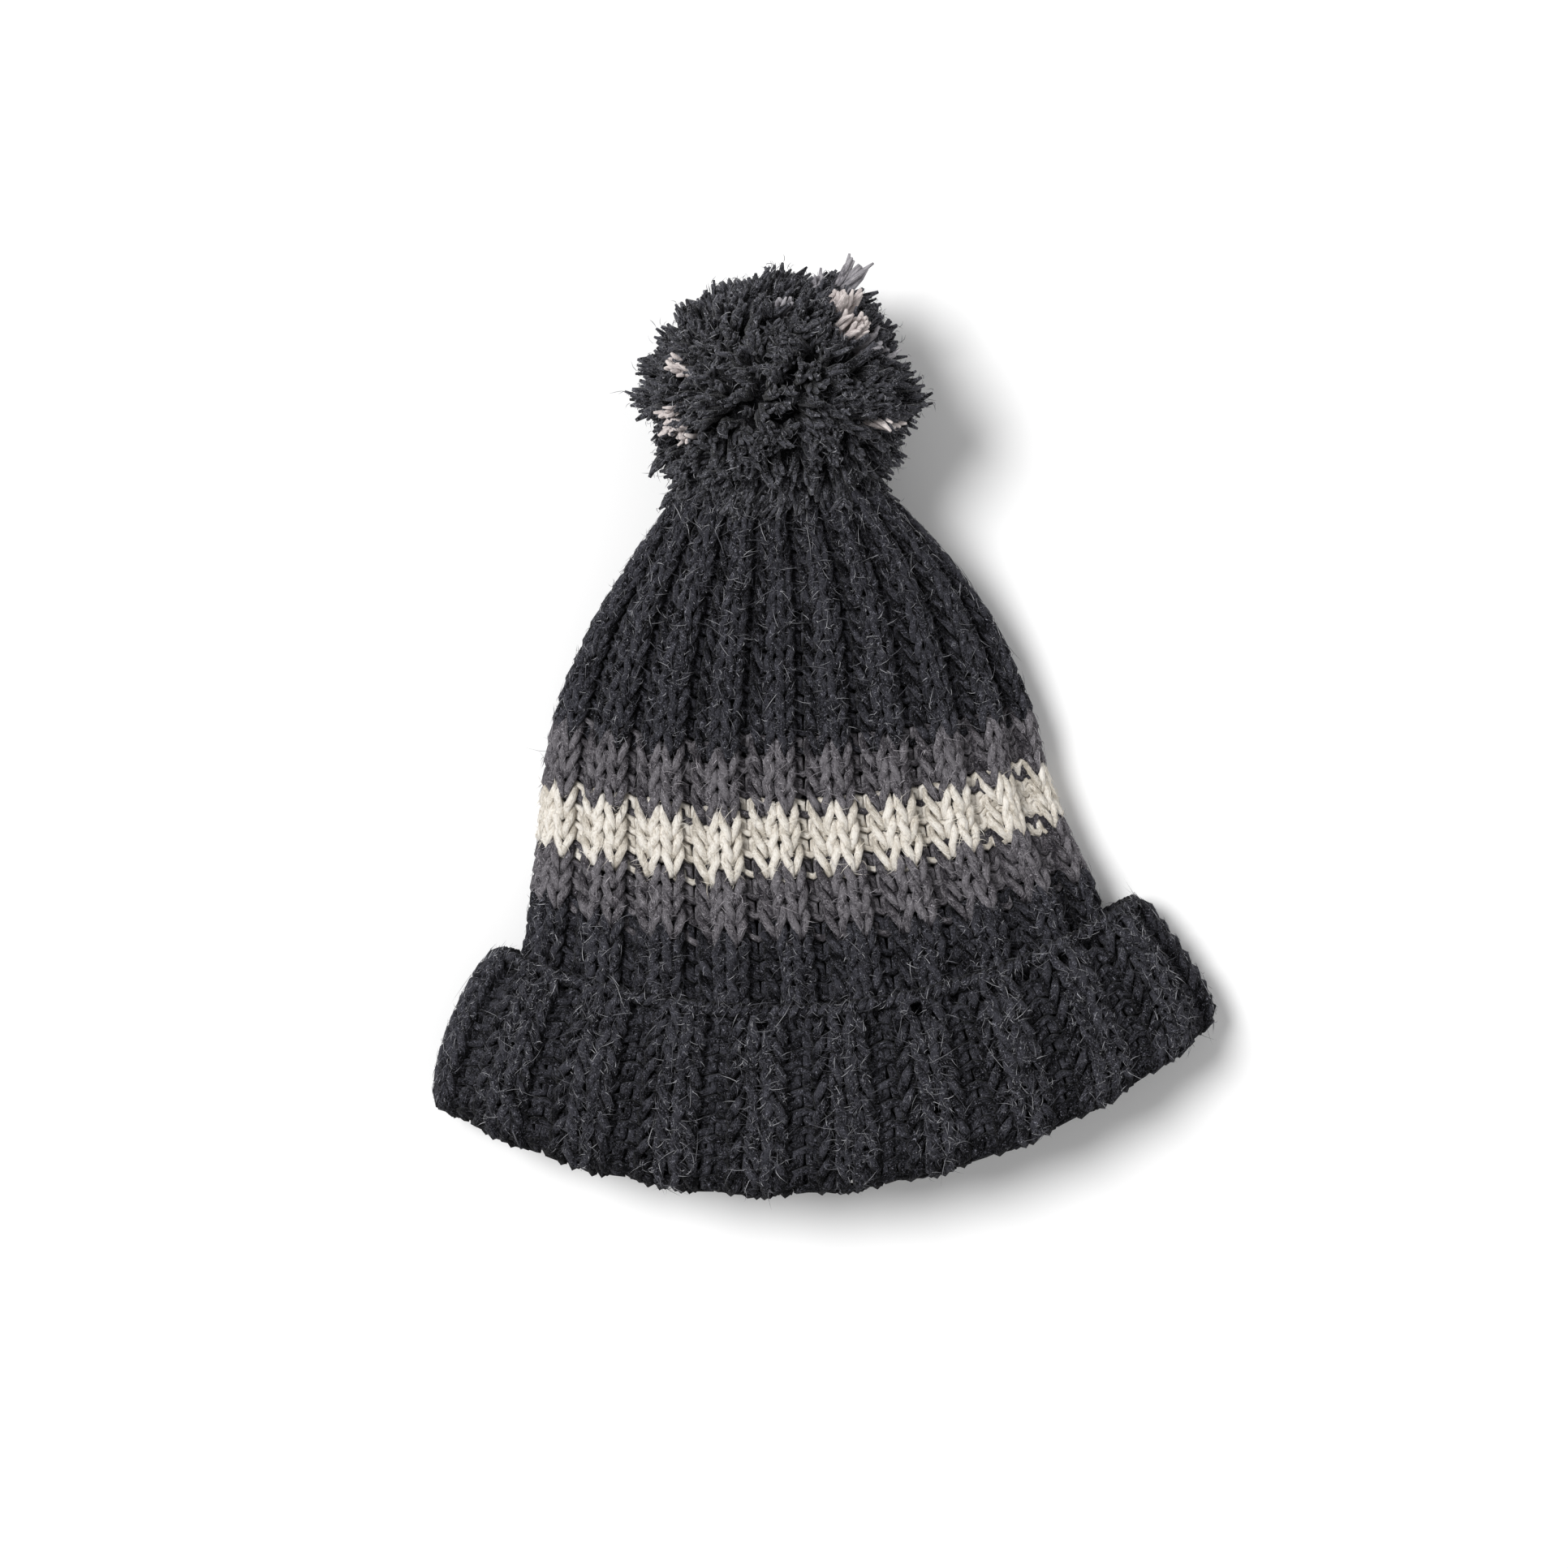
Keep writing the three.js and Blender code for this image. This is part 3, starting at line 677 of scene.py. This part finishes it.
PLY_GIRTH = np.array([0.9, 1.0, 1.05, 0.98, 0.45])
PLY_APART = np.array([0.8, 0.85, 0.9, 1.05, 1.4])  # mm from the strand's middle; the cut end frays
STRAND_CRIMP = 1.2
CRIMP_WAVES = 5.0  # radians along a strand
LOCK_WAVES = 3.2  # radians across the ball's radius
LOCK_LEAN = 7.5
STRAND_LEAN = 4.2
STRAND_DROOP = np.array([0, 0, -1.5])
TUFT_LEAN = 0.3  # share of the lean that the tufts of other yarn keep
CORE_SHARE = 0.78
CORE_GRID = (20, 40)
CORE_PATTERN = 30.0  # mm of yarn pattern to its radius
# The core's crest is low: painted shade deep inside the ball
CORE_CREST = 0.1
STRAND_HAIRS = 7000
HAIR_LENGTH = 2.8
HAIR_RADIUS = (0.055, 0.1)
HAIR_STATIONS = {2: 0.25, 3: 0.4, 4: 0.35}  # where on a strand fibres start, and their shares

# Tufts of other yarn: where they lie seen from above, how wide they are, how much longer, and which yarn
TUFTS = (
    (-48.2, 89.8, 5.4, 1.02, "blush"),
    (9.0, 120.5, 6.8, 1.1, "blush"),
    (3.5, 131.0, 3.8, 1.23, "grey"),
    (-4.0, 131.0, 3.0, 1.1, "grey"),
    (-15.0, 127.5, 3.2, 1.03, "grey"),
    (16.4, 112.5, 4.0, 1.02, "grey"),
    (-45.5, 107.5, 3.2, 1.02, "blush"),
    (19.0, 88.7, 2.4, 1.02, "blush"),
)


def spread(count):
    """Directions spread evenly over a sphere: equal steps of height, each a golden angle further round."""
    k = np.arange(count)
    height = 1 - (2 * k + 1) / count
    turn = k * np.pi * (3 - np.sqrt(5))
    level = np.sqrt(1 - height**2)
    return np.stack([level * np.cos(turn), level * np.sin(turn), height], axis=1)


def field(direction, waves, size, seed):
    """A smooth random vector for each direction: a sum of sine waves across the sphere."""
    wave_rng = np.random.default_rng(seed)
    total = 0
    for _ in range(waves):
        across = wave_rng.normal(0, LOCK_WAVES, 3)
        phase = wave_rng.uniform(0, 2 * np.pi)
        total = total + np.sin(direction @ across + phase)[:, None] * wave_rng.normal(0, 1, 3)
    return size / np.sqrt(waves) * total


def clear_of_crown(points, gap):
    """Moves points that lie in the crown straight out to its surface: its section at their y is taken as
    an ellipse, and a point inside is scaled out from the middle of it."""
    left, right, low, high = CROWN[:, [LEFT_X, RIGHT_X, LOW, HIGH]].T
    lengthwise = CROWN[:, LEFT_Y]
    y = points[..., 1]
    middle_x = np.interp(y, lengthwise, (left + right) / 2)
    half_x = np.interp(y, lengthwise, (right - left) / 2, right=0) + gap
    middle_z = np.interp(y, lengthwise, (low + high) / 2)
    half_z = np.interp(y, lengthwise, (high - low) / 2, right=0) + gap
    off_x, off_z = points[..., 0] - middle_x, points[..., 2] - middle_z
    away = np.maximum(np.hypot(off_x / half_x, off_z / half_z), 1e-3)
    push = np.where(y < lengthwise[-1], np.maximum(1 / away, 1), 1)
    return np.stack([middle_x + push * off_x, y, middle_z + push * off_z], axis=-1)


def pompom_strands():
    """Strand paths: out from near the knot along their direction, turned by the square of the way towards
    a smooth field that gathers neighbours into locks, and by a random amount of their own, at the distance
    that the ball's shape gives. Strands that would run deep into the crown are left out, and the rest are
    laid over it."""
    direction = unit(spread(STRANDS) + rng.normal(0, STRAND_JITTER, (STRANDS, 3)))
    length = 1 + LENGTH_SPREAD * rng.normal(0, 1, STRANDS) + field(direction, 6, LENGTH_SPREAD, 3)[:, 0]
    length = length + np.where(rng.random(STRANDS) < LONG_STRANDS, rng.uniform(*LONG_BY, STRANDS), 0)
    lean = field(direction, 8, LOCK_LEAN, 4) + rng.normal(0, STRAND_LEAN, (STRANDS, 3)) + STRAND_DROOP
    lean = lean - np.sum(lean * direction, axis=1, keepdims=True) * direction
    yarn = np.full(STRANDS, "charcoal", dtype="<U8")
    for x, y, width, longer, name in TUFTS:
        level = (np.array([x, y]) - POMPOM_AT[:2]) / POMPOM_REACH[:2]
        axis = unit(np.append(level, np.sqrt(max(1 - level @ level, 0))))
        near = np.linalg.norm((direction - axis) * POMPOM_REACH, axis=1) < width
        yarn[near] = name
        length = np.where(near, longer, length)
        lean = np.where(near[:, None], TUFT_LEAN * lean, lean)
    s = STRAND_STATIONS[:, None]
    along = STRAND_INNER + (length[:, None, None] - STRAND_INNER) * s
    way = (along * (POMPOM_REACH * direction)[:, None] + lean[:, None] * s**2) / POMPOM_REACH
    path = POMPOM_AT + along * unit(way) * POMPOM_REACH
    laid = clear_of_crown(path, STRAND_GAP)
    keep = np.linalg.norm(laid - path, axis=-1).max(axis=1) < STRANDS_DEEPEST
    return laid[keep], direction[keep], yarn[keep]


def plies(paths, direction):
    """The yarns that a strand is plied from: each winds about the strand's path, close along it and apart
    at the cut end, where it thins to a blunt tip. None goes below the table."""
    count = len(paths)
    beside = unit(np.cross(direction, rng.normal(0, 1, (count, 3))))
    upper = np.cross(direction, beside)
    phase = rng.uniform(0, 2 * np.pi, (count, 1, 1)) + 2 * np.pi * np.arange(PLIES)[:, None] / PLIES
    turn = phase + 2 * np.pi * PLY_TURNS * STRAND_STATIONS
    apart = PLY_APART * (1 + APART_SPREAD * rng.normal(0, 1, (count, PLIES, 1)))
    beside, upper = beside[:, None, None], upper[:, None, None]
    ring = np.cos(turn)[..., None] * beside + np.sin(turn)[..., None] * upper
    strand = paths[:, None, -1:] - paths[:, None, :1]
    uneven = PLY_UNEVEN * rng.normal(0, 1, (count, PLIES, 1, 1)) * strand
    swing = rng.uniform(0, 2 * np.pi, (count, 1, 1)) + CRIMP_WAVES * STRAND_STATIONS
    crimp = STRAND_CRIMP * (np.sin(swing) * STRAND_STATIONS)[..., None] * beside
    path = paths[:, None] + apart[..., None] * ring + crimp + uneven * STRAND_STATIONS[:, None] ** 3
    path[..., 2] = np.maximum(path[..., 2], PLY_RADIUS)
    radius = PLY_RADIUS * (1 + PLY_SPREAD * rng.normal(0, 1, (count, PLIES, 1))) * PLY_GIRTH
    reference = np.broadcast_to(beside, path.shape)
    flat = (count * PLIES, len(STRAND_STATIONS))
    return path.reshape(*flat, 3), radius.reshape(flat), reference.reshape(*flat, 3)


def pompom_core():
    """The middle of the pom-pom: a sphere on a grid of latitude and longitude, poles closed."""
    rows, columns = CORE_GRID
    latitude = np.pi * (np.arange(1, rows) / rows - 0.5)
    longitude = 2 * np.pi * np.arange(columns) / columns
    level = np.cos(latitude)[:, None]
    ball = np.stack([level * np.cos(longitude), level * np.sin(longitude),
                     np.sin(latitude)[:, None] + 0 * longitude], axis=-1).reshape(-1, 3)
    ball = np.concatenate([ball, [[0, 0, -1], [0, 0, 1]]])
    vertices = clear_of_crown(POMPOM_AT + CORE_SHARE * POMPOM_REACH * ball, CORE_GAP)
    index = np.arange((rows - 1) * columns).reshape(rows - 1, columns)
    here, there = index[:-1], index[1:]
    quads = np.stack([here, np.roll(here, -1, 1), np.roll(there, -1, 1), there], axis=-1).reshape(-1, 4)
    bottom, top = index[0], index[-1]
    ends = np.concatenate([
        np.stack([0 * bottom + len(ball) - 2, np.roll(bottom, -1), bottom], axis=1),
        np.stack([0 * top + len(ball) - 1, top, np.roll(top, -1)], axis=1)])
    return {
        "vertices": vertices,
        "faces": [quads, ends],
        "yarn_mm": CORE_PATTERN * ball,
        "crest": np.full(len(ball), CORE_CREST),
    }


def strand_fuzz(paths, radii):
    """Fibres of the cut ends: they start along the outer part of a ply, cross it at any angle and curl."""
    count = STRAND_HAIRS
    pick = rng.integers(0, len(paths), count)
    station = rng.choice(list(HAIR_STATIONS), count, p=list(HAIR_STATIONS.values()))
    away = unit(paths[pick, -1] - paths[pick, 0])
    aside = unit(np.cross(away, rng.normal(0, 1, away.shape)))
    base = paths[pick, station] + 0.7 * radii[pick, station][:, None] * aside
    length = HAIR_LENGTH * rng.lognormal(0, 0.25, count)[:, None]
    start = unit(aside * rng.uniform(0.5, 1.5, (count, 1)) + 0.7 * away)
    turned = unit(np.cross(start, rng.normal(0, 1, away.shape)))
    reach, bend = length * start, length * (turned - 0.75 * start)
    shape = spindles(base, reach, bend, rng.uniform(*HAIR_RADIUS, count))
    tone = rng.choice(DARK_TONES, count) * rng.uniform(*TONE_SPREAD, count)
    shape["tone"] = np.repeat(tone, FIBRE_CORNERS)
    return shape


def make_pompom():
    """The strands of each yarn, painted paler towards their ends by the square of the way along them, and
    in painted shade near the knot. The charcoal ones also get the core and the fuzz."""
    strands, direction, yarn = pompom_strands()
    for name, material in (("charcoal", CUT_CHARCOAL), ("blush", BLUSH), ("grey", PALE_GREY)):
        mine = yarn == name
        paths, radii, references = plies(strands[mine], direction[mine])
        shape = tubes(paths, radii, references, PLY_SIDES)
        # Crest by the square of the way out: painted light at the cut ends, painted shade near the knot
        shape["crest"] = np.repeat(np.tile(STRAND_STATIONS**2, len(paths)), PLY_SIDES)
        if name == "charcoal":
            shape = joined(shape, pompom_core())
            hairs = strand_fuzz(paths, radii)
            new_piece("pompom_fuzz", hairs, CHARCOAL_FIBRE, ["pompom"])
        new_piece("pompom_" + name, shape, material, ["pompom"])


make_pompom()

# Tie: a plied cord through the eye that ends in a knot inside the crown
EYE_AT = np.array([-13.0, 83.4, 40.5])
TIE_FROM, TIE_TO = -11.0, 8.6  # along the hat from the eye
TIE_PLY = 1.05
TIE_APART = 1.15  # of a ply's radius, from the cord's middle
TIE_TURNS = 3.0
TIE_STEPS = 48
TIE_SIDES = 6
KNOT_AT = -8.8
KNOT_HALF = 1.2
KNOT_RADIUS = 3.1
KNOT_YARN = 1.35
KNOT_TURNS = 2.6


def make_tie():
    """Helices about a line along the hat: a thin one for each ply of the cord, and a short wide one for
    the knot. It has no crest, so its yarn takes the darkest tone and no stray fibres: painted shade inside
    the crown."""
    t = np.linspace(0, 1, TIE_STEPS)
    phase = 2 * np.pi * np.arange(PLIES)[:, None] / PLIES

    def helix(turn, radius, start, end):
        along = start + (end - start) * t + 0 * turn
        return EYE_AT + np.stack([radius * np.cos(turn), along, radius * np.sin(turn)], axis=-1)

    cord = helix(phase + 2 * np.pi * TIE_TURNS * t, TIE_APART * TIE_PLY, TIE_FROM, TIE_TO)
    knot_turn = 2 * np.pi * KNOT_TURNS * t[None]
    knot = helix(knot_turn, KNOT_RADIUS, KNOT_AT - KNOT_HALF, KNOT_AT + KNOT_HALF)
    lengthwise = np.array([0, 1.0, 0])
    shapes = []
    for path, size in ((cord, TIE_PLY), (knot, KNOT_YARN)):
        radii = np.full(path.shape[:2], size)
        shapes.append(tubes(path, radii, np.broadcast_to(lengthwise, path.shape), TIE_SIDES))
    new_piece("tie_cord", joined(*shapes), CHARCOAL, ["pompom_tie"])


make_tie()

# Studio: a white table under an even sky, a soft key light from the upper left and a weak fill
FLOOR_SIZE = 16000.0
CAMERA_AT = (-12.5, -17.1, 1200.0)
CAMERA_LENS = 88.4
CAMERA_SENSOR = 36.0
VIEW_DEPTH = 40000.0
KEY_AT = (-1350.0, 560.0, 2500.0)
KEY_SIZE = 1200.0
KEY_POWER = 77.0
FILL_AT = (1700.0, -200.0, 1000.0)
FILL_SIZE = 1000.0
FILL_POWER = 8.0
SKY_STRENGTH = 0.34


def soft_light(name, place, size, power):
    """A round soft light at a place, aimed at the origin: tilted from straight down, then turned to it."""
    light = bpy.data.lights.new(name, "AREA")
    light.shape = "DISK"
    light.size = size * MM
    light.energy = power
    lamp = bpy.data.objects.new(name, light)
    x, y, z = place
    lamp.location = np.array(place) * MM
    lamp.rotation_euler = (np.arctan2(np.hypot(x, y), z), 0, np.arctan2(x, -y))
    bpy.context.scene.collection.objects.link(lamp)


def make_studio():
    """The table top as one square, the sky, the lights, and the camera, which looks straight down."""
    mesh = bpy.data.meshes.new("floor")
    half = FLOOR_SIZE / 2 * MM
    corners = [(-half, -half, 0), (half, -half, 0), (half, half, 0), (-half, half, 0)]
    mesh.from_pydata(corners, [], [(0, 1, 2, 3)])
    # Matt white paper: an even white on which only the hat's soft shadow shows
    material, tree = new_material("matt_white_paper")
    shader = add(tree, "BsdfPrincipled", {"Base Color": linear("#fbfbfb"), "Roughness": 0.9})
    add(tree, "OutputMaterial", {"Surface": shader.outputs[0]})
    mesh.materials.append(material)
    floor = bpy.data.objects.new("floor", mesh)
    bpy.context.scene.collection.objects.link(floor)

    world = bpy.data.worlds.new("studio")
    world.use_nodes = True
    world.node_tree.nodes["Background"].inputs["Color"].default_value = (1, 1, 1, 1)
    world.node_tree.nodes["Background"].inputs["Strength"].default_value = SKY_STRENGTH
    bpy.context.scene.world = world

    soft_light("key", KEY_AT, KEY_SIZE, KEY_POWER)
    soft_light("fill", FILL_AT, FILL_SIZE, FILL_POWER)

    lens = bpy.data.cameras.new("camera")
    lens.sensor_width = CAMERA_SENSOR
    lens.lens = CAMERA_LENS
    lens.clip_end = VIEW_DEPTH * MM
    camera = bpy.data.objects.new("camera", lens)
    camera.location = np.array(CAMERA_AT) * MM
    bpy.context.scene.collection.objects.link(camera)
    bpy.context.scene.camera = camera
    bpy.context.scene.view_settings.view_transform = "Standard"


make_studio()
